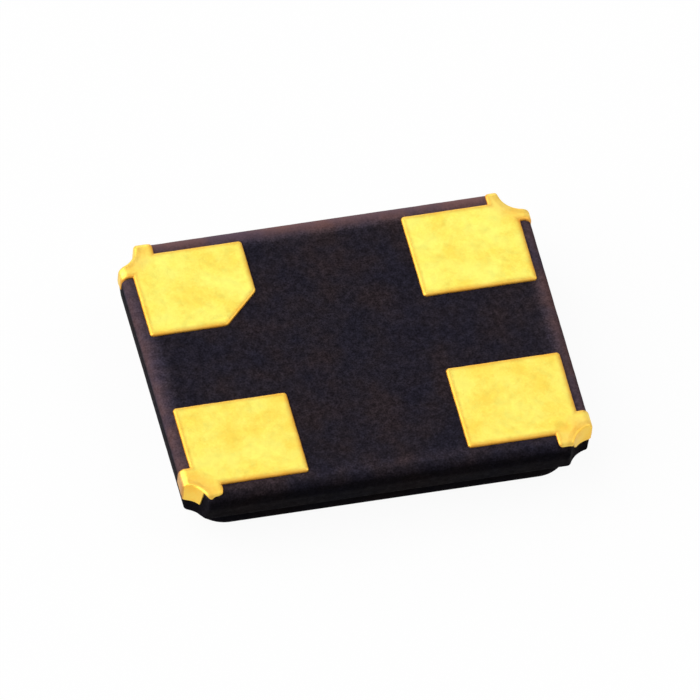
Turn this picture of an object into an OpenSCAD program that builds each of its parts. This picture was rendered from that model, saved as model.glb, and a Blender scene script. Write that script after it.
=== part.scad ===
// Quartz crystal unit in a four-terminal ceramic package with a glass-sealed ceramic lid.
// Millimetres. The lid's outer face is z = 0 and the soldering side faces +Z.
// Terminals run clockwise seen from the soldering side: 1 at (-x, +y), 2, 3, 4.

/* [Ceramic body] */
// Length of the body along X, over the metal on its end faces
body_length = 3.2; // [2.6:0.05:4.2]
// Width of the body along Y
body_width = 2.5; // [2.05:0.05:3.2]
// Thickness of the base layer, which carries the soldering pads
base_layer = 0.17; // [0.12:0.01:0.24]
// Thickness of the frame layer, which forms the rim above the lid
frame_layer = 0.13; // [0.1:0.01:0.2]
// Thickness of the ceramic wall round the cavity
wall = 0.35; // [0.29:0.01:0.42]
// Radius of the cavity's corners
cavity_radius = 0.15; // [0.08:0.01:0.2]
// Radius of the tumbled edges round the soldering face
edge_radius = 0.06; // [0.04:0.005:0.075]
// Distance that the scored sides lean in towards the rim
side_lean = 0.05; // [0.02:0.005:0.06]
// Height of the leaning part of the sides
lean_height = 0.16; // [0.1:0.01:0.18]

/* [Terminals] */
// Length of each soldering pad along X
pad_length = 0.89; // [0.7:0.01:1.1]
// Width of each soldering pad along Y
pad_width = 0.777; // [0.65:0.001:0.95]
// Distance from the body's end to the pads
pad_end_inset = 0.093; // [0.08:0.001:0.14]
// Distance from the body's side to the pads
pad_side_inset = 0.12; // [0.08:0.001:0.14]
// Radius of the printed corners of the pads
pad_radius = 0.03; // [0.01:0.005:0.06]
// Thickness of the pads above the ceramic
pad_height = 0.02; // [0.01:0.005:0.03]
// Length cut off the inner corner of pad 1
pin_1_cut = 0.287; // [0.15:0.001:0.4]
// Length of each ear past its notch, along X
ear_past_x = 0.105; // [0.06:0.005:0.18]
// Width of each ear past its notch, along Y
ear_past_y = 0.12; // [0.06:0.005:0.18]
// Depth that the ears reach down over the rounded edges of the body's sides
ear_wrap = 0.025; // [0.01:0.005:0.035]
// Depth that the ears reach down the body's end faces
end_wrap = 0.14; // [0.08:0.01:0.16]
// Thickness of the metal on the end faces
end_plating = 0.008; // [0.005:0.001:0.012]
// Radius of the quarter-round notch at each corner of the body
notch_radius = 0.2; // [0.16:0.01:0.24]
// Thickness of the metal that lines the notches
lining = 0.015; // [0.01:0.005:0.03]
// Radius of the shallow round mark on the ear of terminal 3
mark_radius = 0.055; // [0.03:0.005:0.06]
// Depth of that mark
mark_depth = 0.005; // [0.002:0.001:0.008]
// Clearance between the notch and that mark
mark_gap = 0.03; // [0.02:0.005:0.05]
// Direction of the mark from the body's corner, in degrees from X
mark_angle = 38; // [30:1:60]

/* [Seal and lid] */
// Thickness of the printed metal of the leads
print_height = 0.015; // [0.01:0.005:0.02]
// Distance from the body's side to the glass
seal_inset = 0.1; // [0.08:0.005:0.12]
// Clearance between the notches and the round corners of the glass
seal_gap = 0.065; // [0.04:0.005:0.08]
// Thickness of the glass between the rim and the lid
seal_height = 0.03; // [0.02:0.005:0.05]
// Width of the glass that shows round the lid
seal_fillet = 0.025; // [0.015:0.005:0.03]
// Distance from the cavity wall to the inner edge of the glass
mouth_step = 0.04; // [0.02:0.01:0.06]
// Height of the lid
lid_height = 0.2; // [0.16:0.01:0.3]
// Radius of the lid's outer edges
lid_edge = 0.075; // [0.04:0.005:0.1]
// Depth of the recess in the lid's inner face
lid_recess = 0.08; // [0.04:0.01:0.1]
// Distance from the inner edge of the glass to the recess
recess_step = 0.03; // [0.02:0.01:0.06]

/* [Quartz blank] */
// Thickness of the blank
blank_thickness = 0.07; // [0.04:0.01:0.09]
// Clearance from the cavity wall to the blank's mounted end
mounted_clearance = 0.15; // [0.1:0.01:0.2]
// Clearance from the cavity wall to the blank's free end
free_clearance = 0.25; // [0.15:0.01:0.4]
// Clearance from the cavity wall to the blank's sides
side_clearance = 0.2; // [0.12:0.01:0.3]
// Thickness of the film electrodes
film = 0.004; // [0.003:0.001:0.006]
// Distance from the tabs to the electrode fields
field_start = 0.265; // [0.15:0.005:0.3]
// Distance from the blank's free end to the electrode fields
field_end = 0.405; // [0.2:0.005:0.45]
// Distance from the blank's sides to the electrode fields
field_side = 0.225; // [0.1:0.005:0.3]
// Width of the tabs that run from the fields to the mounted end
tab_width = 0.3; // [0.24:0.01:0.34]
// Distance from the blank's sides to the tabs
tab_inset = 0.1; // [0.05:0.01:0.14]
// Length of the tabs under the mounted end
tab_length = 0.28; // [0.24:0.01:0.3]

/* [Supports and leads] */
// Height of the support pads above the cavity's floor
support_height = 0.035; // [0.025:0.005:0.05]
// Distance from the cavity's end to the support pads
support_inset = 0.03; // [0.02:0.005:0.04]
// Clearance from the cavity's side to the support pads
support_side = 0.05; // [0.03:0.01:0.08]
// Length of each support pad past its adhesive dot, along X
support_past_x = 0.03; // [0.01:0.005:0.06]
// Width of each support pad past its adhesive dot, towards the centre line
support_past_y = 0.06; // [0.02:0.01:0.08]
// Distance from the blank's mounted end to the centres of the adhesive dots
dot_inset = 0.14; // [0.12:0.005:0.16]
// Radius of each adhesive dot
dot_radius = 0.11; // [0.08:0.01:0.12]
// Height of each adhesive dot
dot_height = 0.03; // [0.02:0.002:0.04]
// Clearance between the free end of the blank and the pillow under it
pillow_gap = 0.03; // [0.02:0.005:0.04]
// Length of the pillow along X
pillow_length = 0.2; // [0.1:0.01:0.25]
// Width of the pillow along Y
pillow_width = 1; // [0.6:0.05:1.2]
// Length of the blank that reaches past the pillow
pillow_past = 0.1; // [0.05:0.01:0.2]
// Width of the printed traces
trace_width = 0.1; // [0.06:0.01:0.12]
// Distance of the long trace from the cavity's side, buried under the wall
trace_inset = 0.12; // [0.1:0.01:0.14]

/* [Hidden] */
$fn = 64;
// a length kept to a micrometre, so that arcs and straights meet exactly
function to_micron(length) = round(length * 1000) / 1000;

// heights, from the lid's outer face towards the soldering side
z_seal = lid_height;
z_rim = z_seal + seal_height;
z_sides = z_rim + lean_height;
z_floor = z_rim + frame_layer;
z_face = z_floor + base_layer;
z_pads = z_face + pad_height;
// the ceramic between the metal on its end faces
ceramic_length = body_length - 2 * end_plating;
// the faces inside the cavity
z_print = z_floor - print_height;
z_support = z_floor - support_height;
z_film = z_support - dot_height;
z_blank_top = z_film - film;
z_blank = z_blank_top - blank_thickness;
// the cavity and the blank
cavity_length = body_length - 2 * wall;
cavity_width = body_width - 2 * wall;
blank_length = cavity_length - mounted_clearance - free_clearance;
blank_width = cavity_width - 2 * side_clearance;
blank_end = -cavity_length / 2 + mounted_clearance;
tab_offset = blank_width / 2 - tab_inset - tab_width / 2;
field_length = blank_length - tab_length - field_start - field_end;
field_width = blank_width - 2 * field_side;
field_x = blank_end + tab_length + field_start;
// the supports under the blank
dot_x = blank_end + dot_inset;
support_start = support_inset - cavity_length / 2;
support_length = dot_x + dot_radius + support_past_x - support_start;
support_offset = tab_offset - dot_radius - support_past_y;
support_width = cavity_width / 2 - support_side - support_offset;
// the ears beside their notches
ear_length = notch_radius + ear_past_x;
ear_width = notch_radius + ear_past_y;
mark_reach = notch_radius + mark_gap + mark_radius;
// the glass, whose round corners clear the notches, and the lid
seal_length = body_length - 2 * seal_inset;
seal_width = body_width - 2 * seal_inset;
seal_radius = to_micron((notch_radius + seal_gap - sqrt(2) * seal_inset) / (sqrt(2) - 1));
mouth_length = cavity_length + 2 * mouth_step;
mouth_width = cavity_width + 2 * mouth_step;
mouth_radius = cavity_radius + mouth_step;
lid_length = seal_length - 2 * seal_fillet;
lid_width = seal_width - 2 * seal_fillet;
lid_radius = seal_radius - seal_fillet;
recess_length = mouth_length - 2 * recess_step;
recess_width = mouth_width - 2 * recess_step;
recess_radius = mouth_radius - recess_step;
// a length that reaches past any face, for cutting
past = 1;
// along the diagonal from a body corner into support pad 1, and to the long trace
lead_reach = sqrt(2) * (wall + support_side + trace_width);
trace_reach = sqrt(2) * (wall - trace_inset + trace_width / 2);

// a rectangle with round corners
module round_rect(l, w, r) {
  square([l - 2 * r, w], center = true);
  square([l, w - 2 * r], center = true);
  for (x = [-1, 1], y = [-1, 1])
    translate([x * (l / 2 - r), y * (w / 2 - r)]) circle(r);
}

// a slab with round corners that widens by c on the way up to its face
module spread_slab(l, w, r, h, c) {
  for (x = [-1, 1], y = [-1, 1])
    translate([x * (l / 2 - r), y * (w / 2 - r), 0]) cylinder(h = h, r1 = r - c, r2 = r);
  rotate([90, 0, 0])
    linear_extrude(w - 2 * r, center = true)
      polygon([[c - l / 2, 0], [l / 2 - c, 0], [l / 2, h], [-l / 2, h]]);
  rotate([90, 0, 90])
    linear_extrude(l - 2 * r, center = true)
      polygon([[c - w / 2, 0], [w / 2 - c, 0], [w / 2, h], [-w / 2, h]]);
}

// outline of a slab across its width w, with round lower edges
module slab_profile(w, h, e) {
  translate([-w / 2, e]) square([w, h - e]);
  translate([e - w / 2, 0]) square([w - 2 * e, h]);
  for (x = [-1, 1]) translate([x * (w / 2 - e), e]) circle(e);
}

// a slab with round corners and round lower edges
module soft_slab(l, w, r, h, e) {
  for (x = [-1, 1], y = [-1, 1])
    translate([x * (l / 2 - r), y * (w / 2 - r), 0])
      rotate_extrude() intersection() {
        slab_profile(2 * r, h, e);
        square([r, h]);
      }
  rotate([90, 0, 0]) linear_extrude(w - 2 * r, center = true) slab_profile(l, h, e);
  rotate([90, 0, 90]) linear_extrude(l - 2 * r, center = true) slab_profile(w, h, e);
}

// outline of the body across one width: round upper edges, sides that lean in at the rim
module edge_profile(w, lift) {
  polygon([
    [side_lean - w / 2, z_rim], [w / 2 - side_lean, z_rim],
    [w / 2, z_sides], [-w / 2, z_sides]
  ]);
  translate([-w / 2, z_sides]) square([w, z_face + lift - edge_radius - z_sides]);
  translate([edge_radius - w / 2, z_sides]) square([w - 2 * edge_radius, z_face + lift - z_sides]);
  for (x = [-1, 1])
    translate([x * (w / 2 - edge_radius), z_face + lift - edge_radius]) circle(edge_radius);
}

// the body without its notches; lift raises the soldering face and its edges
module body_block(length, lift) {
  intersection() {
    rotate([90, 0, 0]) linear_extrude(body_width, center = true) edge_profile(length, lift);
    rotate([90, 0, 90]) linear_extrude(length, center = true) edge_profile(body_width, lift);
  }
}

// upright cylinder on a body corner
module corner_post(sx, sy, r) {
  translate([sx * body_length / 2, sy * body_width / 2, 0]) cylinder(h = z_pads + past, r = r);
}

// a strip from a body corner inwards along the diagonal
module corner_strip(sx, sy, reach) {
  translate([sx * body_length / 2, sy * body_width / 2])
    rotate(sy > 0 ? (sx > 0 ? 225 : 315) : (sx > 0 ? 135 : 45))
      translate([0, -trace_width / 2]) square([reach, trace_width]);
}

// printed outline of a pad and its ear
module pad_outline(sx, sy, cut) {
  inner_x = body_length / 2 - pad_end_inset - pad_length;
  inner_y = body_width / 2 - pad_side_inset - pad_width;
  difference() {
    translate([sx * (inner_x + pad_length / 2), sy * (inner_y + pad_width / 2)])
      round_rect(pad_length, pad_width, pad_radius);
    if (cut > 0)
      translate([sx * inner_x, sy * inner_y]) rotate(45) square(cut * sqrt(2), center = true);
  }
  translate([sx * (body_length - ear_length) / 2, sy * (body_width - ear_width) / 2])
    square([ear_length, ear_width], center = true);
}

// a terminal: pad, ear bent over the rounded edges and down the end face, and lining of its notch
module terminal(sx, sy, cut) {
  difference() {
    intersection() {
      body_block(body_length, pad_height);
      union() {
        translate([0, 0, z_face - ear_wrap])
          linear_extrude(ear_wrap + 2 * pad_height) pad_outline(sx, sy, cut);
        translate([0, 0, z_face - end_wrap])
          linear_extrude(end_wrap)
            translate([sx * (body_length - edge_radius) / 2, sy * (body_width - ear_width) / 2])
              square([edge_radius, ear_width], center = true);
        translate([0, 0, z_print])
          linear_extrude(z_pads + pad_height - z_print)
            translate([sx * body_length / 2, sy * body_width / 2]) circle(notch_radius);
      }
    }
    difference() {
      body_block(ceramic_length, 0);
      corner_post(sx, sy, notch_radius);
    }
    corner_post(sx, sy, notch_radius - lining);
  }
}

// support pad on the cavity's floor, on the side sy
module support_pad(sy) {
  translate([support_start, sy > 0 ? support_offset : -support_offset - support_width, z_support])
    cube([support_length, support_width, support_height]);
}

module ceramic_base() color("#2d2631") {
  difference() {
    body_block(ceramic_length, 0);
    for (x = [-1, 1], y = [-1, 1]) corner_post(x, y, notch_radius);
    difference() {
      translate([0, 0, z_rim - past])
        linear_extrude(z_floor - z_rim + past)
          round_rect(cavity_length, cavity_width, cavity_radius);
      // the pillow under the blank's free end
      translate([
        blank_end + blank_length - pillow_past - pillow_length, -pillow_width / 2,
        z_film + pillow_gap
      ]) cube([pillow_length, pillow_width, past]);
    }
    inner_lead_1();
    inner_lead_3();
  }
}

module terminal_1() color("#f7d863") terminal(-1, 1, pin_1_cut);
module terminal_2() color("#f7d863") terminal(1, 1, 0);
module terminal_3() color("#f7d863") {
  difference() {
    terminal(1, -1, 0);
    translate([body_length / 2, -body_width / 2, z_pads - mark_depth]) rotate(180 - mark_angle)
      translate([mark_reach, 0, 0]) cylinder(h = past, r = mark_radius);
  }
}
module terminal_4() color("#f7d863") terminal(-1, -1, 0);

module inner_lead_1() color("#d9b85a") {
  difference() {
    union() {
      support_pad(1);
      translate([0, 0, z_print]) linear_extrude(print_height) corner_strip(-1, 1, lead_reach);
    }
    corner_post(-1, 1, notch_radius);
  }
}

module inner_lead_3() color("#d9b85a") {
  start_x = support_start + support_length / 2;
  trace_y = -cavity_width / 2 - trace_inset;
  difference() {
    union() {
      support_pad(-1);
      translate([0, 0, z_print]) linear_extrude(print_height) {
        translate([start_x - trace_width / 2, trace_y - trace_width / 2])
          square([trace_width, support_side + trace_inset + trace_width]);
        translate([start_x, trace_y - trace_width / 2])
          square([body_length / 2 - wall + trace_inset - start_x, trace_width]);
        corner_strip(1, -1, trace_reach);
      }
    }
    corner_post(1, -1, notch_radius);
  }
}

module glass_seal() color("#2a2a30") {
  difference() {
    translate([0, 0, z_seal])
      spread_slab(seal_length, seal_width, seal_radius, seal_height, seal_fillet);
    translate([0, 0, z_seal - past / 2])
      linear_extrude(past) round_rect(mouth_length, mouth_width, mouth_radius);
  }
}

module ceramic_lid() color("#29232c") {
  difference() {
    soft_slab(lid_length, lid_width, lid_radius, lid_height, lid_edge);
    translate([0, 0, z_seal - lid_recess])
      linear_extrude(past) round_rect(recess_length, recess_width, recess_radius);
  }
}

module quartz_blank() color("#dfe8ea")
  translate([blank_end, -blank_width / 2, z_blank])
    cube([blank_length, blank_width, blank_thickness]);

module electrode_floor_side() color("#e6e3dc") {
  translate([field_x, -field_width / 2, z_blank_top]) cube([field_length, field_width, film]);
  translate([blank_end, tab_offset - tab_width / 2, z_blank_top])
    cube([field_x + film - blank_end, tab_width, film]);
}

module electrode_lid_side() color("#e6e3dc") {
  translate([field_x, -field_width / 2, z_blank - film]) cube([field_length, field_width, film]);
  translate([blank_end - film, -tab_offset - tab_width / 2, z_blank - film])
    cube([field_x + 2 * film - blank_end, tab_width, film]);
  // round the mounted end and on to the adhesive
  translate([blank_end - film, -tab_offset - tab_width / 2, z_blank - film])
    cube([film, tab_width, blank_thickness + 2 * film]);
  translate([blank_end - film, -tab_offset - tab_width / 2, z_blank_top])
    cube([tab_length, tab_width, film]);
}

// a dot pressed flat between a support pad and the blank, with bulging sides
module adhesive_dot(sy) {
  translate([dot_x, sy * tab_offset, z_film])
    rotate_extrude() intersection() {
      translate([dot_radius - dot_height / 2, dot_height / 2]) circle(dot_height * 0.75);
      square([dot_radius * 2, dot_height]);
    }
  translate([dot_x, sy * tab_offset, z_film])
    cylinder(h = dot_height, r = dot_radius - dot_height / 2);
}
module adhesive_dot_1() color("#a9a59c") adhesive_dot(1);
module adhesive_dot_3() color("#a9a59c") adhesive_dot(-1);

ceramic_base();
terminal_1();
terminal_2();
terminal_3();
terminal_4();
inner_lead_1();
inner_lead_3();
glass_seal();
ceramic_lid();
quartz_blank();
electrode_floor_side();
electrode_lid_side();
adhesive_dot_1();
adhesive_dot_3();
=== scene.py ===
import math
from functools import partial

import bpy
import numpy as np
from mathutils import Matrix, Vector


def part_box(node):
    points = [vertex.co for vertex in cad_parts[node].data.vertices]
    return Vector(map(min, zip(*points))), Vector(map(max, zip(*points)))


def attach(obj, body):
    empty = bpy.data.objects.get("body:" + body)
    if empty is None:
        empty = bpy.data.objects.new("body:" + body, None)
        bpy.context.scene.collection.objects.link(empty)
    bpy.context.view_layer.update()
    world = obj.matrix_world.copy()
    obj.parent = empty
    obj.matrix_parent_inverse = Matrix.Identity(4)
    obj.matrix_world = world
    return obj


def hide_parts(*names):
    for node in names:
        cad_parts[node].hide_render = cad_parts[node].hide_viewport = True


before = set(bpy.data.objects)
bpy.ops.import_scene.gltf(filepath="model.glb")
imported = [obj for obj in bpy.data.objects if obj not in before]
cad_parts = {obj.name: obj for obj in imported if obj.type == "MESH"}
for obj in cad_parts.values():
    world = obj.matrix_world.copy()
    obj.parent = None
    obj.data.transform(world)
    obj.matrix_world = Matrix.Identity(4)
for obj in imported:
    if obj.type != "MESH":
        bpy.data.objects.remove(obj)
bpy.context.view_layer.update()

MM = 0.001
scene = bpy.context.scene


# ---------------------------------------------------------------- sizes, in millimetres
def box_mm(node):
    low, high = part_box(node)
    return np.array(low) / MM, np.array(high) / MM


ceramic_low, ceramic_high = box_mm("ceramic_base")
terminal_low, terminal_high = box_mm("terminal_2")
seal_low, seal_high = box_mm("glass_seal")
lid_low, lid_high = box_mm("ceramic_lid")

# the body: the metal on its end faces reaches HALF_X, and the ceramic itself CERAMIC_X
HALF_X, HALF_Y = terminal_high[0], ceramic_high[1]
CERAMIC_X = ceramic_high[0]
Z_RIM, Z_FACE = ceramic_low[2], ceramic_high[2]
EDGE_RADIUS = 0.06
LEAN_HEIGHT = 0.16
LEANS_X, LEANS_Y = (0.028, 0.012), (0.045, 0.045)
FINE_EDGE = 0.006
# the block runs on below the rim before it is cut there, and lies a hair inside its outline
BELOW_RIM, SHRINK = 0.2, 0.0003

# the notches, punched a little towards -X and -Y of the body's corners
NOTCH_RADIUS, NOTCH_EDGE = 0.2, 0.025
PUNCH_LEFT, PUNCH_DOWN = 0.02, 0.025

# the cavity, and the pillow in its floor
WALL, CAVITY_RADIUS, Z_FLOOR = 0.35, 0.15, 0.36
PILLOW_X, PILLOW_Y, Z_PILLOW, PILLOW_RADIUS = (0.7, 0.9), (-0.5, 0.5), 0.325, 0.02
CAVITY_EDGE, MOUTH_EDGE = 0.01, 0.008

# the terminals: pads, ears, the strips down the end faces and the linings of the notches
Z_PRINT, Z_PADS = terminal_low[2], terminal_high[2]
PAD_HEIGHT = Z_PADS - Z_FACE
PAD_LENGTH, PAD_WIDTH, PAD_RADIUS = 0.89, 0.777, 0.03
PAD_END_INSET, PAD_SIDE_INSET = 0.093, 0.12
PAD_X, PAD_Y = HALF_X - PAD_END_INSET - PAD_LENGTH / 2, HALF_Y - PAD_SIDE_INSET - PAD_WIDTH / 2
INNER_X, INNER_Y = HALF_X - PAD_END_INSET - PAD_LENGTH, HALF_Y - PAD_SIDE_INSET - PAD_WIDTH
PIN_1_CUT, CUT_EDGE = 0.287, 0.02
EAR_LENGTH, EAR_WIDTH, EAR_RADIUS = 0.305, 0.32, 0.02
EAR_WRAP, END_WRAP = 0.025, 0.14
PAD_WRAP_EDGE, EAR_WRAP_EDGE, STRIP_EDGE, LINING_EDGE, METAL_EDGE = 0.01, 0.04, 0.01, 0.008, 0.026
LINING, SUNK = 0.015, 0.012
MARK_AT, MARK_RADIUS = (HALF_X - 0.2246, 0.1755 - HALF_Y), 0.055
MARK_DEPTH, MARK_SLOPE = 0.004, (-0.035, 0.025)

# wear and unevenness: layers of noise as (height, size, shift); the pairs take their shift from a seed
CERAMIC_WEAR = (0.0012, 0.07, 0.0), (0.0006, 0.025, 5.3)
NOTCH_WEAR, LINING_WAVE, THINNING = (0.0006, 0.05, 2.1), (0.004, 0.05, 6.1), (0.0006, 0.16, 4.4)
RAGGED, FINE_RAGGED, FRAYED = (0.0012, 0.08), (0.0005, 0.025, 1.3), (0.004, 0.04, 8.1)
STRIP_WAVE = (0.006, 0.05)
WORN_FRAY, WORN_BACK = 3, 0.008


# ---------------------------------------------------------------- noise and distance fields
LATTICE_SIZE = 32
LATTICE = np.random.default_rng(11).random((LATTICE_SIZE,) * 3)


def noise(x, y, z, size, shift=0.0):
    """Smooth noise from -1 to 1 whose bumps are about size across."""
    cells, shares = [], []
    for value in (x, y, z):
        value = np.asarray(value) / size + shift
        cell = np.floor(value).astype(int)
        share = value - cell
        cells.append(cell)
        shares.append(share * share * (3 - 2 * share))
    total = 0
    for corner in np.ndindex(2, 2, 2):
        weight, at = 1, []
        for cell, share, ahead in zip(cells, shares, corner):
            weight = weight * (share if ahead else 1 - share)
            at.append((cell + ahead) % LATTICE_SIZE)
        total = total + weight * LATTICE[tuple(at)]
    return total * 2 - 1


def relief(x, y, z, *layers):
    """Noise summed over layers of (height, size, shift)."""
    return sum(height * noise(x, y, z, size, shift) for height, size, shift in layers)


def flat_relief(x, y, *layers):
    """Relief that is the same all the way up."""
    return relief(x, y, 0 * x, *layers)


def smooth_max(a, b, k):
    """The larger of two fields, with the edge between them rounded over about k."""
    blend = np.maximum(k - np.abs(a - b), 0)
    return np.maximum(a, b) + blend * blend / (4 * k)


def fall(value, low, high):
    """1 at low and 0 at high, with smooth ends."""
    share = np.clip((high - value) / (high - low), 0, 1)
    return share * share * (3 - 2 * share)


def rounded_rect(u, v, half_u, half_v, radius):
    """Distance to a rectangle with round corners, negative inside it."""
    past_u, past_v = np.abs(u) - (half_u - radius), np.abs(v) - (half_v - radius)
    outside = np.hypot(np.maximum(past_u, 0), np.maximum(past_v, 0))
    return outside + np.minimum(np.maximum(past_u, past_v), 0) - radius


def side_profile(u, z, half, leans, lift):
    """The body across one width: round upper edges, and sides that lean in towards the rim.

    leans gives by how much, the side at negative u first."""
    top, low = Z_FACE + lift, Z_RIM - BELOW_RIM
    block = rounded_rect(u, z - (top + low) / 2, half, (top - low) / 2, EDGE_RADIUS)
    lean = np.where(u < 0, *leans)
    rise = z - (Z_RIM + LEAN_HEIGHT)
    leaning = ((np.abs(u) - half) * LEAN_HEIGHT - rise * lean) / np.hypot(lean, LEAN_HEIGHT)
    return smooth_max(block, leaning, FINE_EDGE)


def body(x, y, z, half_x, lift=0.0):
    """The block without its notches and its rim; lift raises the soldering face and its edges."""
    return np.maximum(side_profile(x, z, half_x, LEANS_X, lift), side_profile(y, z, HALF_Y, LEANS_Y, lift))


def corner_distance(x, y):
    """Distance to the nearest notch's centre. Notch 3 was not punched towards -X."""
    x = np.where((x < 0) | (y > 0), x + PUNCH_LEFT, x)
    return np.hypot(np.abs(x) - HALF_X, np.abs(y + PUNCH_DOWN) - HALF_Y)


def ceramic_block(x, y, z, notch=NOTCH_RADIUS):
    """The base with its notches and its rim, before the cavity is cut."""
    sides = smooth_max(body(x, y, z, CERAMIC_X), notch - corner_distance(x, y), NOTCH_EDGE)
    return smooth_max(sides, Z_RIM - z, FINE_EDGE)


def cavity(x, y, z):
    """The hollow below the base's floor, less the pillow that stands in it."""
    hollow = rounded_rect(x, y, HALF_X - WALL, HALF_Y - WALL, CAVITY_RADIUS)
    hollow = smooth_max(hollow, z - Z_FLOOR, CAVITY_EDGE)
    (x0, x1), (y0, y1) = PILLOW_X, PILLOW_Y
    pillow = rounded_rect(x - (x0 + x1) / 2, y - (y0 + y1) / 2, (x1 - x0) / 2, (y1 - y0) / 2, PILLOW_RADIUS)
    pillow = smooth_max(pillow, Z_PILLOW - z, CAVITY_EDGE)
    return smooth_max(hollow, -pillow, CAVITY_EDGE)


def ceramic_field(x, y, z):
    """The base. The wear of its faces only takes material away."""
    notch = NOTCH_RADIUS + relief(x, y, z, NOTCH_WEAR)
    worn = relief(x, y, z, *CERAMIC_WEAR)
    block = ceramic_block(x, y, z, notch) + np.maximum(worn, 0) + SHRINK
    return smooth_max(block, -cavity(x, y, z), MOUTH_EDGE)


def lining_foot(share, raised, sag, bare, bare_ends):
    """Height of a lining's lower edge; share runs from 0 at the long side to 1 at the end face.

    The edge sags by sag in the middle. Near the long side it is higher by bare, from one share of
    bare_ends down to the other."""
    return Z_PRINT + raised - sag * np.sin(math.pi * share) + bare * fall(share, *bare_ends)


level_foot = partial(lining_foot, raised=0.0, sag=0.0, bare=0.0, bare_ends=(0.15, 0.42))
short_foot = partial(lining_foot, raised=0.02, sag=0.0, bare=0.14, bare_ends=(0.15, 0.42))
sagging_foot = partial(lining_foot, raised=0.015, sag=0.005, bare=0.2, bare_ends=(0.22, 0.42))


def printed_sheet(x, y, z, sx, sy, cut, worn):
    """A pad and its ear, down to where they end on the body's rounded edges; worn frays the ear."""
    ax, ay = sx * x, sy * y
    wrap = Z_FACE - EAR_WRAP - z
    pad = rounded_rect(ax - PAD_X, ay - PAD_Y, PAD_LENGTH / 2, PAD_WIDTH / 2, PAD_RADIUS)
    if cut:
        pad = smooth_max(pad, (INNER_X + INNER_Y + cut - ax - ay) / math.sqrt(2), CUT_EDGE)
    pad = smooth_max(pad, wrap, PAD_WRAP_EDGE)
    frayed = (1 + WORN_FRAY * worn) * flat_relief(x, y, FRAYED)
    ear = rounded_rect(ax - HALF_X, ay - HALF_Y, EAR_LENGTH, EAR_WIDTH, EAR_RADIUS)
    ear = smooth_max(ear, wrap + WORN_BACK * worn + frayed, EAR_WRAP_EDGE)
    return np.minimum(pad, ear)


def end_strip(x, y, z, sx, sy, seed):
    """The metal that runs on from the ear down the end face."""
    strip = smooth_max(HALF_Y - EAR_WIDTH - sy * y, HALF_X - EDGE_RADIUS - sx * x, STRIP_EDGE)
    foot = Z_FACE - END_WRAP - z + relief(0 * x, y, z, (*STRIP_WAVE, seed))
    return smooth_max(strip, foot, STRIP_EDGE)


def notch_lining(x, y, z, sx, sy, foot):
    """The metal in the notch, down to foot."""
    share = np.arctan2(HALF_Y - sy * y, np.maximum(HALF_X - sx * x, 1e-6)) / (math.pi / 2)
    low = foot(np.clip(share, 0, 1)) + flat_relief(x, y, LINING_WAVE) - LINING_WAVE[0]
    return smooth_max(corner_distance(x, y) - NOTCH_RADIUS - SUNK, low - z, LINING_EDGE)


def metal_top(x, y, z):
    """The metal's outer face: a little thinner in places, and dented by the round mark."""
    top = body(x, y, z, HALF_X, PAD_HEIGHT) + THINNING[0] + flat_relief(x, y, THINNING)
    from_mark = np.hypot(x - MARK_AT[0], y - MARK_AT[1]) - MARK_RADIUS
    return top + MARK_DEPTH * fall(from_mark, *MARK_SLOPE)


def terminal_field(sx, sy, cut, foot, worn):
    """The terminal on one corner; sx and sy are 1 or -1. It is sunk a little into the ceramic."""
    seed = 3.7 * sx + sy

    def field(x, y, z):
        ragged = flat_relief(x, y, (*RAGGED, seed), FINE_RAGGED)
        sheet = printed_sheet(x, y, z, sx, sy, cut, worn) + ragged
        strip = end_strip(x, y, z, sx, sy, seed) + ragged
        metal = np.minimum(np.minimum(sheet, strip), notch_lining(x, y, z, sx, sy, foot))
        solid = smooth_max(metal_top(x, y, z), metal, METAL_EDGE)
        solid = smooth_max(solid, NOTCH_RADIUS - LINING - corner_distance(x, y), NOTCH_EDGE)
        return np.maximum(solid, -ceramic_block(x, y, z) - SUNK)

    return field


# ---------------------------------------------------------------- meshes
def grid_lines(*stretches):
    """Grid lines over stretches given as (start, end, step)."""
    lines = []
    for start, end, step in stretches:
        lines.extend(np.linspace(start, end, max(2, int(round((end - start) / step)) + 1)))
    return np.unique(np.round(lines, 6))


def slope(field, points, reach=0.0008):
    """The field's gradient at each point."""
    gradient = np.empty_like(points)
    for axis in range(3):
        aside = np.zeros(3)
        aside[axis] = reach
        gradient[:, axis] = (field(*(points + aside).T) - field(*(points - aside).T)) / (2 * reach)
    return gradient


def settled(field, points, rounds=4, longest_move=0.003, least_slope=0.2):
    """The points drawn onto the surface where the field is zero, and its normals there."""
    for _ in range(rounds):
        gradient = slope(field, points)
        steepness = np.maximum((gradient * gradient).sum(1), least_slope)
        move = (field(*points.T) / steepness)[:, None] * gradient
        points = points - np.clip(move, -longest_move, longest_move)
    gradient = slope(field, points)
    return points, gradient / np.maximum(np.linalg.norm(gradient, axis=1), 1e-9)[:, None]


def edge_crossings(grid, value, axis):
    """Which of the grid's edges along one axis the surface crosses, where, and which start inside."""
    low, high = [slice(None)] * 3, [slice(None)] * 3
    low[axis], high[axis] = slice(None, -1), slice(1, None)
    low, high = tuple(low), tuple(high)
    start, end = value[low], value[high]
    crossed = (start < 0) != (end < 0)
    share = np.where(crossed, start / np.where(crossed, start - end, 1), 0)
    points = np.stack([lines[low] for lines in grid], -1)
    points[..., axis] += share * (grid[axis][high] - grid[axis][low])
    points[~crossed] = 0
    return crossed, points, start < 0


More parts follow.
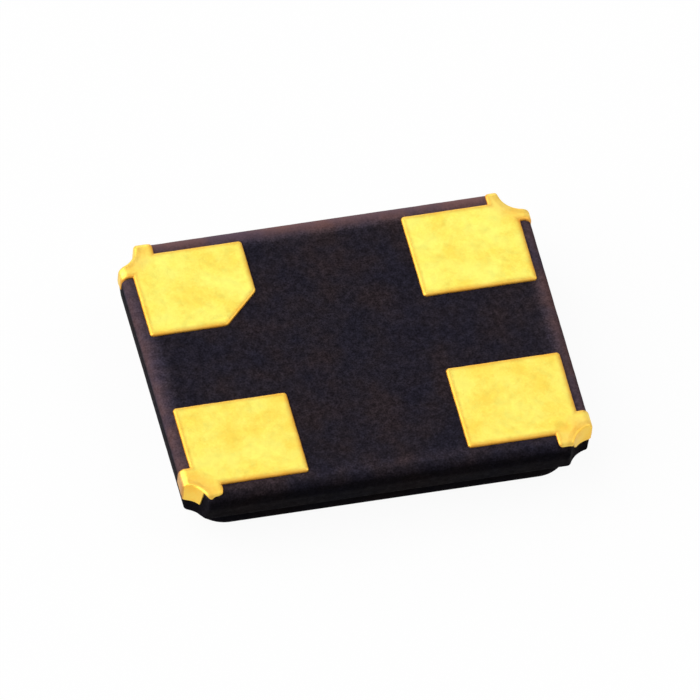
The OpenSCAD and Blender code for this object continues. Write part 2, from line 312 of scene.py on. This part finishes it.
def quads_round(number, crossed, inside, one, two):
    """A quad of the four cells round each crossed edge, turned so that it faces outwards."""
    cells = number.shape
    at = np.argwhere(crossed)
    whole = (at[:, one] > 0) & (at[:, one] < cells[one]) & (at[:, two] > 0) & (at[:, two] < cells[two])
    at = at[whole]
    ring = []
    for back_one, back_two in ((1, 1), (0, 1), (0, 0), (1, 0)):
        cell = at.copy()
        cell[:, one] -= back_one
        cell[:, two] -= back_two
        ring.append(number[cell[:, 0], cell[:, 1], cell[:, 2]])
    ring = np.stack(ring, 1)
    flipped = ~inside[at[:, 0], at[:, 1], at[:, 2]]
    ring[flipped] = ring[flipped][:, ::-1]
    return ring


def surface_net(field, axes):
    """Vertices, quads and normals of the surface where field is zero, on a grid of these lines.

    Each cell that the surface passes through gets one vertex, and each crossed edge one quad."""
    grid = np.meshgrid(*axes, indexing="ij")
    value = field(*grid)
    cells = tuple(n - 1 for n in value.shape)
    total, count = np.zeros(cells + (3,)), np.zeros(cells)
    edges = []
    for axis in range(3):
        crossed, points, inside = edge_crossings(grid, value, axis)
        one, two = (axis + 1) % 3, (axis + 2) % 3
        for ahead_one in (0, 1):
            for ahead_two in (0, 1):
                pick = [slice(None)] * 3
                pick[one] = slice(ahead_one, crossed.shape[one] - 1 + ahead_one)
                pick[two] = slice(ahead_two, crossed.shape[two] - 1 + ahead_two)
                total += points[tuple(pick)]
                count += crossed[tuple(pick)]
        edges.append((crossed, inside, one, two))
    used = count > 0
    number = np.full(cells, -1)
    number[used] = np.arange(used.sum())
    quads = np.concatenate([quads_round(number, *edge) for edge in edges])
    points, normals = settled(field, total[used] / count[used][:, None])
    return points, quads, normals


def mesh_object(name, points, faces, normals=None):
    """A smooth object from points in millimetres."""
    mesh = bpy.data.meshes.new(name)
    mesh.from_pydata((np.asarray(points) * MM).tolist(), [], [list(map(int, face)) for face in faces])
    mesh.validate()
    mesh.shade_smooth()
    if normals is not None:
        mesh.normals_split_custom_set_from_vertices(normals.tolist())
    piece = bpy.data.objects.new(name, mesh)
    scene.collection.objects.link(piece)
    return piece


def stand_in(piece, node, material):
    """Put a finished piece in the place of a CAD node."""
    piece.data.materials.append(material)
    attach(piece, "root")
    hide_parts(node)


def heading(degrees):
    return np.array([math.cos(math.radians(degrees)), math.sin(math.radians(degrees))])


def outline(half_x, half_y, radius, per_side=60, per_corner=24):
    """Points and outward directions round a rectangle with round corners."""
    points, outwards = [], []
    corners = [(1, 1), (-1, 1), (-1, -1), (1, -1)]
    centres = [np.array([sx * (half_x - radius), sy * (half_y - radius)]) for sx, sy in corners]
    for n, centre in enumerate(centres):
        for degrees in np.linspace(90 * n, 90 * n + 90, per_corner + 1):
            points.append(centre + radius * heading(degrees))
            outwards.append(heading(degrees))
        out = heading(90 * n + 90)
        first, last = centre + radius * out, centres[(n + 1) % 4] + radius * out
        for share in np.linspace(0, 1, per_side + 2)[1:-1]:
            points.append(first + share * (last - first))
            outwards.append(out)
    return np.array(points), np.array(outwards)


def loft(name, loops, close):
    """An object skinned over loops of equal length; close joins the last to the first, or caps both ends."""
    count = len(loops[0])
    faces = []
    for k in range(len(loops) if close else len(loops) - 1):
        near, far = k * count, ((k + 1) % len(loops)) * count
        for i in range(count):
            j = (i + 1) % count
            faces.append((near + i, far + i, far + j, near + j))
    if not close:
        faces.append(tuple(range(count)))
        faces.append(tuple(range((len(loops) - 1) * count, len(loops) * count))[::-1])
    return mesh_object(name, np.concatenate(loops), faces)


def ring_loops(outer, inner, profile):
    """Loops between two outlines; profile gives (share inwards, push outwards, height)."""
    (outer_points, outwards), (inner_points, _) = outer, inner
    loops = []
    for share, push, height in profile:
        flat = outer_points * (1 - share) + inner_points * share + outwards * push
        loops.append(np.column_stack([flat, np.broadcast_to(height, len(flat))]))
    return loops


def quarter(share, push, height, radius, start, spans=3):
    """Profile points round a quarter circle about (push, height), from the angle start onwards."""
    turns = [math.radians(start + 90 * k / spans) for k in range(spans + 1)]
    return [(share, push + radius * math.cos(turn), height + radius * math.sin(turn)) for turn in turns]


# ---------------------------------------------------------------- materials
def feed(tree, socket, value):
    """Link a socket to another, or set a number or a colour on it."""
    if isinstance(value, bpy.types.NodeSocket):
        tree.links.new(value, socket)
    elif isinstance(value, tuple):
        socket.default_value = (*value, 1)
    else:
        socket.default_value = value


class Paint:
    """A Principled material with a few short cuts for its nodes. Lengths are in millimetres."""

    def __init__(self, name, **constants):
        self.material = bpy.data.materials.new(name)
        self.material.use_nodes = True
        self.tree = self.material.node_tree
        self.shader = self.tree.nodes["Principled BSDF"]
        for socket, value in constants.items():
            self.shader.inputs[socket.replace("_", " ")].default_value = value
        coordinates = self.tree.nodes.new("ShaderNodeTexCoord")
        scale = self.tree.nodes.new("ShaderNodeMapping")
        scale.inputs["Scale"].default_value = (1 / MM, 1 / MM, 1 / MM)
        self.link(coordinates.outputs["Object"], scale.inputs["Vector"])
        self.mm = scale.outputs["Vector"]

    def link(self, source, target):
        self.tree.links.new(source, target)

    def node(self, kind, inputs, **settings):
        """A new node with these settings, its inputs linked or set."""
        node = self.tree.nodes.new(kind)
        for key, value in settings.items():
            setattr(node, key, value)
        for key, value in inputs.items():
            feed(self.tree, node.inputs[key], value)
        return node

    def axes(self):
        """X, Y and Z of the point that is painted."""
        return self.node("ShaderNodeSeparateXYZ", {0: self.mm}).outputs

    def noise(self, size, detail=2.0, rough=0.5):
        inputs = {"Scale": 1 / size, "Detail": detail, "Roughness": rough, "Vector": self.mm}
        return self.node("ShaderNodeTexNoise", inputs).outputs["Fac"]

    def ramp(self, factor, stops):
        """A colour ramp; stops are (position, colour)."""
        node = self.node("ShaderNodeValToRGB", {"Fac": factor})
        while len(node.color_ramp.elements) < len(stops):
            node.color_ramp.elements.new(0.5)
        for element, (position, colour) in zip(node.color_ramp.elements, stops):
            element.position = position
            element.color = (*colour, 1)
        return node.outputs["Color"]

    def mix(self, factor, a, b, mode="MIX"):
        inputs = {"Factor": factor, "A": a, "B": b}
        return self.node("ShaderNodeMix", inputs, data_type="RGBA", blend_type=mode).outputs["Result"]

    def tinted(self, colour, factor, tint):
        """colour multiplied by tint where factor is 1."""
        return self.mix(factor, colour, self.mix(1.0, colour, tint, "MULTIPLY"))

    def math(self, operation, first, *others):
        """One operation on a value, or taken over several values from the left."""
        if not others:
            return self.node("ShaderNodeMath", {0: first}, operation=operation).outputs[0]
        for other in others:
            first = self.node("ShaderNodeMath", {0: first, 1: other}, operation=operation).outputs[0]
        return first

    def plus(self, *values):
        return self.math("ADD", *values)

    def minus(self, value, taken_off):
        return self.math("SUBTRACT", value, taken_off)

    def times(self, *values):
        return self.math("MULTIPLY", *values)

    def least(self, *values):
        return self.math("MINIMUM", *values)

    def most(self, *values):
        return self.math("MAXIMUM", *values)

    def absolute(self, value):
        return self.math("ABSOLUTE", value)

    def distance(self, x, y):
        return self.math("SQRT", self.plus(self.times(x, x), self.times(y, y)))

    def scaled(self, value, span, new_span):
        """value, carried from one span of numbers over to another and kept within it."""
        (low, high), (new_low, new_high) = span, new_span
        inputs = {"Value": value, "From Min": low, "From Max": high, "To Min": new_low, "To Max": new_high}
        return self.node("ShaderNodeMapRange", inputs).outputs["Result"]

    def varied(self, noise, low, high):
        """A noise that runs from low to high."""
        return self.scaled(noise, (0.3, 0.7), (low, high))

    def step(self, value, low, high):
        """0 at low and 1 at high, with smooth ends; low may be the larger of the two."""
        inputs = {"Value": value, "From Min": low, "From Max": high}
        return self.node("ShaderNodeMapRange", inputs, interpolation_type="SMOOTHSTEP").outputs["Result"]

    def finish(self, colour, roughness, bump_height, bump_mm):
        """Set the shader's colour, roughness and bump, and give the material."""
        self.link(colour, self.shader.inputs["Base Color"])
        self.link(roughness, self.shader.inputs["Roughness"])
        bump = self.node("ShaderNodeBump", {"Distance": bump_mm * MM, "Strength": 1.0, "Height": bump_height})
        self.link(bump.outputs["Normal"], self.shader.inputs["Normal"])
        return self.material


CERAMIC_TONES = [
    (0.36, (0.0138, 0.0122, 0.0195)),
    (0.5, (0.017, 0.0136, 0.0187)),
    (0.64, (0.0215, 0.0152, 0.0181)),
]
# painted sheen: the edges of the soldering face are painted paler, standing in for their reflection of the
# bright surroundings; by how much, and over which distances from the body's sides
SHEEN_ENDS, ENDS_FADE = 0.92, (0.19, 0.0)
SHEEN_BACK, BACK_FADE = 1.65, (0.19, 0.02)
SHEEN_FRONT, FRONT_FADE, FRONT_END = 0.12, (0.19, 0.09), (0.03, 0.09)
SHEEN_GAIN, SHEEN_TINT, SHEEN_CALM = 4.1, (1.01, 0.75, 0.62), 0.6
# painted shade: the walls are painted darker than the soldering face; the change lies between these depths
# below it
WALL_SHADE_LEVEL, FACE_FADE = 0.42, (0.08, 0.03)


def painted_edge_sheen(paint, x, y, face):
    """Painted sheen along the edges of the soldering face: most along +Y, least along -Y."""
    from_ends = paint.minus(HALF_X, paint.absolute(x))
    from_back, from_front = paint.minus(HALF_Y, y), paint.plus(y, HALF_Y)
    ends = paint.times(paint.step(from_ends, *ENDS_FADE), SHEEN_ENDS)
    back = paint.times(paint.step(from_back, *BACK_FADE), SHEEN_BACK)
    front = paint.times(paint.step(from_front, *FRONT_FADE), paint.step(from_front, *FRONT_END), SHEEN_FRONT)
    return paint.times(paint.most(ends, back, front), face)


def calmed(paint, value, factor):
    """value, drawn most of the way towards 1 where factor is 1."""
    return paint.plus(value, paint.times(paint.minus(1.0, value), factor, SHEEN_CALM))


def black_ceramic():
    paint = Paint("black_ceramic", Specular_IOR_Level=0.015)
    x, y, z = paint.axes()
    face = paint.step(paint.minus(Z_FACE, z), *FACE_FADE)
    # painted sheen: the edges of the soldering face painted paler, with the grain and flecks calmed under it
    sheen = painted_edge_sheen(paint, x, y, face)
    patches = paint.ramp(paint.noise(0.34, detail=3, rough=0.55), CERAMIC_TONES)
    grain = paint.varied(paint.noise(0.015, rough=0.6), 0.5, 1.55)
    flecks = paint.scaled(paint.noise(0.045), (0.35, 0.65), (0.75, 1.25))
    # painted shade on the walls, darker than the soldering face, plus the painted sheen on the face's edges
    level = paint.plus(paint.times(sheen, SHEEN_GAIN), paint.scaled(face, (0, 1), (WALL_SHADE_LEVEL, 1)))
    shade = paint.times(calmed(paint, grain, sheen), calmed(paint, flecks, sheen), level)
    tone = {0: paint.tinted(patches, sheen, SHEEN_TINT), "Scale": shade}
    colour = paint.node("ShaderNodeVectorMath", tone, operation="SCALE").outputs["Vector"]
    roughness = paint.varied(paint.noise(0.05), 0.62, 0.78)
    return paint.finish(colour, roughness, paint.noise(0.012, detail=3, rough=0.6), 0.0012)


# where the gold differs, in its own tone or by painted shade: the tint that it is multiplied by, and the span
# over which that fades in
# painted shade: the gold darker along the outlines of the pads and ears, where the dark ceramic beside them
# shades them
EDGE_SHADE_TINT, EDGE_FADE = (0.76, 0.4, 0.28), (0.055, -0.01)
NEAR_NOTCH_TINT, NEAR_NOTCH_FADE = (1.0, 0.82, 0.86), (0.38, 0.23)
# painted shade: the notches' rounded brinks darker, damping their highlight
BRINK_SHADE_TINT, BRINK_OUTER_FADE, BRINK_INNER_FADE = (0.91, 0.86, 0.84), (0.25, 0.225), (0.2, 0.185)
NOTCH_WALL_TINT, NOTCH_WALL_FADE = (1.03, 0.98, 0.8), (0.205, 0.19)
MARK_TINT, MARK_FADE = (0.98, 0.9, 0.78), (MARK_RADIUS + 0.025, MARK_RADIUS - 0.03)
# painted shade: the gold's -Y half slightly darker
LOW_Y_SHADE_TINT, LOW_Y_FADE = (1.0, 0.95, 0.91), (0.35, -0.35)
WORN_TINT, WORN_DEPTH, WORN_REACH = (0.66, 0.52, 0.85), (0.022, 0.01), (0.5, 0.4)
CLOUD_SHARE = 0.68


def print_depth(paint, x, y):
    """How far inside the outline of its pad or ear a point lies."""
    away_x, away_y = paint.absolute(x), paint.absolute(y)
    pad_end = paint.minus(HALF_X - PAD_END_INSET, away_x)
    pad_side = paint.minus(HALF_Y - PAD_SIDE_INSET, away_y)
    ear_end = paint.minus(away_x, HALF_X - EAR_LENGTH)
    ear_side = paint.minus(away_y, HALF_Y - EAR_WIDTH)
    depth = paint.most(paint.least(pad_end, pad_side), paint.least(ear_end, ear_side))
    depth = paint.least(depth, paint.minus(away_x, INNER_X), paint.minus(away_y, INNER_Y))
    # the cut corner counts only on the pad at -X, +Y
    past_cut = paint.minus(paint.plus(away_x, away_y), INNER_X + INNER_Y + PIN_1_CUT)
    elsewhere = paint.plus(paint.step(x, -0.1, 0.1), paint.step(y, 0.1, -0.1))
    return paint.least(depth, paint.plus(paint.times(past_cut, math.sqrt(0.5)), elsewhere))


def painted_corner_distance(paint, x, y):
    """The same as corner_distance."""
    moved = paint.most(paint.math("LESS_THAN", x, 0.0), paint.math("GREATER_THAN", y, 0.0))
    across = paint.minus(paint.absolute(paint.plus(x, paint.times(moved, PUNCH_LEFT))), HALF_X)
    along = paint.minus(paint.absolute(paint.plus(y, PUNCH_DOWN)), HALF_Y)
    return paint.distance(across, along)


def gold(name, light, middle, deep, rough, grain_size=0.012, bump_mm=0.0009):
    paint = Paint(name, Metallic=1.0)
    x, y, _ = paint.axes()
    clouds = paint.times(paint.noise(0.2), CLOUD_SHARE)
    specks = paint.times(paint.noise(grain_size * 1.5, rough=0.6), 1 - CLOUD_SHARE)
    colour = paint.ramp(paint.plus(clouds, specks), [(0.36, deep), (0.5, middle), (0.62, light)])
    # painted shade along the outlines of the pads and ears
    colour = paint.tinted(colour, paint.step(print_depth(paint, x, y), *EDGE_FADE), EDGE_SHADE_TINT)
    # the surroundings of the notches, their brinks, painted darker as shade that damps the highlight on their
    # rounding, and their walls
    away = painted_corner_distance(paint, x, y)
    brink = paint.minus(paint.step(away, *BRINK_OUTER_FADE), paint.step(away, *BRINK_INNER_FADE))
    colour = paint.tinted(colour, paint.step(away, *NEAR_NOTCH_FADE), NEAR_NOTCH_TINT)
    colour = paint.tinted(colour, brink, BRINK_SHADE_TINT)
    colour = paint.tinted(colour, paint.step(away, *NOTCH_WALL_FADE), NOTCH_WALL_TINT)
    # the round mark, the -Y half painted slightly darker as painted shade, and the worn end face of terminal
    # 4
    from_mark = paint.distance(paint.minus(x, MARK_AT[0]), paint.minus(y, MARK_AT[1]))
    colour = paint.tinted(colour, paint.step(from_mark, *MARK_FADE), MARK_TINT)
    colour = paint.tinted(colour, paint.step(y, *LOW_Y_FADE), LOW_Y_SHADE_TINT)
    from_end, from_side = paint.plus(x, HALF_X), paint.plus(y, HALF_Y)
    from_corner = paint.distance(from_end, from_side)
    worn = paint.times(paint.step(from_end, *WORN_DEPTH), paint.step(from_corner, *WORN_REACH))
    colour = paint.tinted(colour, worn, WORN_TINT)
    roughness = paint.varied(paint.noise(0.06), rough - 0.05, rough + 0.06)
    return paint.finish(colour, roughness, paint.noise(grain_size, detail=3, rough=0.6), bump_mm)


def plain(name, light, deep, size, rough, bump_size, bump_mm, **constants):
    """A material whose tone and roughness drift a little over patches of this size."""
    paint = Paint(name, **constants)
    colour = paint.ramp(paint.noise(size, detail=3), [(0.36, deep), (0.64, light)])
    roughness = paint.varied(paint.noise(size / 2), rough - 0.06, rough + 0.06)
    return paint.finish(colour, roughness, paint.noise(bump_size, detail=3), bump_mm)


CERAMIC = black_ceramic()
PAD_GOLD = gold("matte_gold", (0.93, 0.865, 0.176), (0.93, 0.81, 0.143), (0.925, 0.72, 0.104), 0.46)
INNER_GOLD = gold("printed_gold", (0.9, 0.66, 0.2), (0.84, 0.57, 0.14), (0.76, 0.48, 0.1), 0.5, 0.02, 0.001)
GLASS = plain("sealing_glass", (0.017, 0.0145, 0.018), (0.012, 0.0105, 0.014), 0.08, 0.3, 0.03, 0.0006)
SILVER = plain("silver_film", (0.86, 0.85, 0.81), (0.78, 0.77, 0.72), 0.1, 0.28, 0.01, 0.0003, Metallic=1.0)
PASTE = plain("silver_paste", (0.5, 0.49, 0.46), (0.38, 0.37, 0.35), 0.03, 0.55, 0.01, 0.002)
QUARTZ = plain("quartz", (0.97, 0.98, 0.98), (0.94, 0.96, 0.965), 0.3, 0.12, 0.02, 0.0002,
               IOR=1.544, Transmission_Weight=1.0)

# ---------------------------------------------------------------- camera
VIEW_WIDTH, CAMERA_DISTANCE, CLIPPING = 5.2926, 50, (0.001, 1.0)
VIEW_RIGHT, VIEW_UP = (0.9716, -0.2289, 0.0609), (0.1430, 0.7717, 0.6197)
AIM_LEFT, AIM_DOWN = 0.0377, 0.0507

camera_data = bpy.data.cameras.new("camera")
camera_data.type = "ORTHO"
camera_data.ortho_scale = VIEW_WIDTH * MM
camera_data.clip_start, camera_data.clip_end = CLIPPING
camera = bpy.data.objects.new("camera", camera_data)
scene.collection.objects.link(camera)
scene.camera = camera
right = Vector(VIEW_RIGHT).normalized()
up = Vector(VIEW_UP)
up = (up - right * up.dot(right)).normalized()
back = right.cross(up)
aim = Vector((0, 0, Z_PADS)) - right * AIM_LEFT - up * AIM_DOWN
turn = Matrix((right, up, back)).transposed().to_4x4()
camera.matrix_world = Matrix.Translation((aim + back * CAMERA_DISTANCE) * MM) @ turn

# ---------------------------------------------------------------- ceramic body and terminals
FINE, COARSE, FINE_BAND, MARGIN = 0.01, 0.03, 0.38, 0.01


def body_lines(half, margin):
    """Grid lines across the body, fine near its sides and coarse between them."""
    inner, outer = half - FINE_BAND, half + margin
    return grid_lines((-outer, -inner, FINE), (-inner, inner, COARSE), (inner, outer, FINE))


body_lines_z = grid_lines((Z_RIM - MARGIN, Z_FACE + MARGIN, 0.009))
body_grid = body_lines(HALF_X, 0), body_lines(HALF_Y, MARGIN), body_lines_z
points, quads, normals = surface_net(ceramic_field, body_grid)
stand_in(mesh_object("ceramic_body", points, quads, normals), "ceramic_base", CERAMIC)

# finer from the notches outwards, and near the soldering face
pad_lines_x = grid_lines((0.6, 1.4, 0.01), (1.4, 1.608, 0.006))
pad_lines_y = grid_lines((0.335, 1.04, 0.01), (1.04, 1.258, 0.006))
pad_lines_z = grid_lines((0.27, 0.49, 0.008), (0.49, 0.556, 0.004))

for number, sx, sy, cut, foot, worn in (
    ("1", -1, 1, PIN_1_CUT, level_foot, 0),
    ("2", 1, 1, 0, level_foot, 0),
    ("3", 1, -1, 0, short_foot, 0),
    ("4", -1, -1, 0, sagging_foot, 1),
):
    pad_grid = np.sort(sx * pad_lines_x), np.sort(sy * pad_lines_y), pad_lines_z
    points, quads, normals = surface_net(terminal_field(sx, sy, cut, foot, worn), pad_grid)
    pad = mesh_object("terminal_pad_" + number, points, quads, normals)
    stand_in(pad, "terminal_" + number, PAD_GOLD)

# ---------------------------------------------------------------- glass seal and lid
MOUTH_STEP, RECESS_STEP = 0.04, 0.03
LID_CORNER = 0.273
LID_EDGE, LID_FINE_EDGE, FLOOR_FILLET, RECESS_DEPTH = 0.075, 0.008, 0.012, 0.08
# how far in from the rounded edges the flat faces that close the lid begin
CAP_INSET, RECESS_CAP_INSET = 0.03, 0.05
# the glass's free face: how hollow it is, and how unevenly it flowed
HOLLOW_POWER, FLOW = 2.2, (0.0035, 0.14, 3.3)


def cavity_outline(step, **density):
    """The cavity's outline, grown by step."""
    return outline(HALF_X - WALL + step, HALF_Y - WALL + step, CAVITY_RADIUS + step, **density)


fillet = seal_high[0] - lid_high[0]
glass_rim = outline(seal_high[0], seal_high[1], LID_CORNER + fillet, per_side=110, per_corner=30)
glass_mouth = cavity_outline(MOUTH_STEP, per_side=110, per_corner=30)
rim_x, rim_y = glass_rim[0].T
flow = (FLOW[0] + flat_relief(rim_x, rim_y, FLOW))[:, None]
seal_rise = seal_high[2] - seal_low[2]
glass_profile = []
for share in np.linspace(0, 1, 7):
    push = -fillet * (1 - (1 - share) ** HOLLOW_POWER) - flow * (1 - share)
    glass_profile.append((0, push, seal_high[2] - seal_rise * share))
glass_profile += [(share, -fillet * (1 - share), seal_low[2]) for share in (0.3, 0.6, 0.9)]
glass_profile += [(1, 0, seal_low[2] + seal_rise * share) for share in np.linspace(0, 1, 4)]
glass_profile += [(share, 0, seal_high[2]) for share in (0.9, 0.6, 0.3)]
glass = loft("glass_fillet", ring_loops(glass_rim, glass_mouth, glass_profile), close=True)
stand_in(glass, "glass_seal", GLASS)

lid_rim = outline(lid_high[0], lid_high[1], LID_CORNER)
recess = cavity_outline(MOUTH_STEP - RECESS_STEP)
lid_top, recess_floor = lid_high[2], lid_high[2] - RECESS_DEPTH
lid_profile = [(1, -RECESS_CAP_INSET, recess_floor)]
lid_profile += quarter(1, -FLOOR_FILLET, recess_floor + FLOOR_FILLET, FLOOR_FILLET, -90)
lid_profile += quarter(1, LID_FINE_EDGE, lid_top - LID_FINE_EDGE, LID_FINE_EDGE, 90)[::-1]
lid_profile += [(share, 0, lid_top) for share in (0.8, 0.5, 0.2)]
lid_profile += quarter(0, -LID_FINE_EDGE, lid_top - LID_FINE_EDGE, LID_FINE_EDGE, 0)[::-1]
lid_profile += quarter(0, -LID_EDGE, LID_EDGE, LID_EDGE, -90, 8)[::-1]
lid_profile += [(0, -LID_EDGE - CAP_INSET, 0)]
lid = loft("lid", ring_loops(lid_rim, recess, lid_profile), close=False)
stand_in(lid, "ceramic_lid", CERAMIC)

# ---------------------------------------------------------------- inner CAD nodes keep their shape
INNER_MATERIALS = {
    "inner_lead_1": INNER_GOLD,
    "inner_lead_3": INNER_GOLD,
    "quartz_blank": QUARTZ,
    "electrode_floor_side": SILVER,
    "electrode_lid_side": SILVER,
    "adhesive_dot_1": PASTE,
    "adhesive_dot_3": PASTE,
}

for node, material in INNER_MATERIALS.items():
    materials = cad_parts[node].data.materials
    materials.clear()
    materials.append(material)


# ---------------------------------------------------------------- floor, world and lamps
def ray_level(tree, other, camera, mirrored):
    """A value by kind of ray: camera rays, rays mirrored or passed on by a surface, and all others."""
    path = tree.nodes.new("ShaderNodeLightPath")
    either = tree.nodes.new("ShaderNodeMath")
    either.operation = "MAXIMUM"
    tree.links.new(path.outputs["Is Glossy Ray"], either.inputs[0])
    tree.links.new(path.outputs["Is Transmission Ray"], either.inputs[1])
    level = other
    for switch, value in ((either.outputs[0], mirrored), (path.outputs["Is Camera Ray"], camera)):
        blend = tree.nodes.new("ShaderNodeMix")
        feed(tree, blend.inputs["Factor"], switch)
        feed(tree, blend.inputs["A"], level)
        feed(tree, blend.inputs["B"], value)
        level = blend.outputs["Result"]
    return level


def build_world():
    world = bpy.data.worlds.new("world")
    world.use_nodes = True
    background = world.node_tree.nodes["Background"]
    background.inputs["Color"].default_value = (1, 1, 1, 1)
    strength = ray_level(world.node_tree, other=0.18, camera=0.99, mirrored=0.63)
    world.node_tree.links.new(strength, background.inputs["Strength"])
    return world


def floor_material():
    """White paper: diffuse, so that it keeps the object's shadow, and lifted for the camera."""
    material = bpy.data.materials.new("floor")
    material.use_nodes = True
    tree = material.node_tree
    tree.nodes.remove(tree.nodes["Principled BSDF"])
    diffuse = tree.nodes.new("ShaderNodeBsdfDiffuse")
    tree.links.new(ray_level(tree, other=0.14, camera=0.9, mirrored=0.9), diffuse.inputs["Color"])
    glow = tree.nodes.new("ShaderNodeEmission")
    lifted = tree.nodes.new("ShaderNodeMixShader")
    tree.links.new(ray_level(tree, other=0.0, camera=0.94, mirrored=0.6), lifted.inputs["Fac"])
    tree.links.new(diffuse.outputs[0], lifted.inputs[1])
    tree.links.new(glow.outputs[0], lifted.inputs[2])
    tree.links.new(lifted.outputs[0], tree.nodes["Material Output"].inputs["Surface"])
    return material


def softbox(name, direction, size, watts, distance=0.5):
    """A square lamp, sized and placed in metres, that faces the object."""
    data = bpy.data.lights.new(name, "AREA")
    data.shape = "SQUARE"
    data.size = size
    data.energy = watts
    lamp = bpy.data.objects.new(name, data)
    towards = Vector(direction).normalized()
    lamp.location = towards * distance
    lamp.rotation_mode = "QUATERNION"
    lamp.rotation_quaternion = towards.to_track_quat("Z", "Y")
    scene.collection.objects.link(lamp)


# in metres
FLOOR_HALF, FLOOR_GAP = 0.6, 0.000002

scene.world = build_world()

floor_corners = [(x * FLOOR_HALF, y * FLOOR_HALF, 0) for x, y in ((-1, -1), (1, -1), (1, 1), (-1, 1))]
floor_mesh = bpy.data.meshes.new("floor")
floor_mesh.from_pydata(floor_corners, [], [(0, 1, 2, 3)])
floor_mesh.materials.append(floor_material())
floor = bpy.data.objects.new("floor", floor_mesh)
floor.location.z = -FLOOR_GAP
scene.collection.objects.link(floor)

softbox("key", (-0.8, 0.2, 0.7), size=0.8, watts=4.2)
softbox("fill", (0.8, 0.0, 0.7), size=0.45, watts=0.8)
softbox("low_left", (-0.95, 0.1, 0.3), size=0.3, watts=0.35)
softbox("low_back", (0.1, 0.95, 0.3), size=0.3, watts=0.35)

scene.view_settings.view_transform = "Standard"
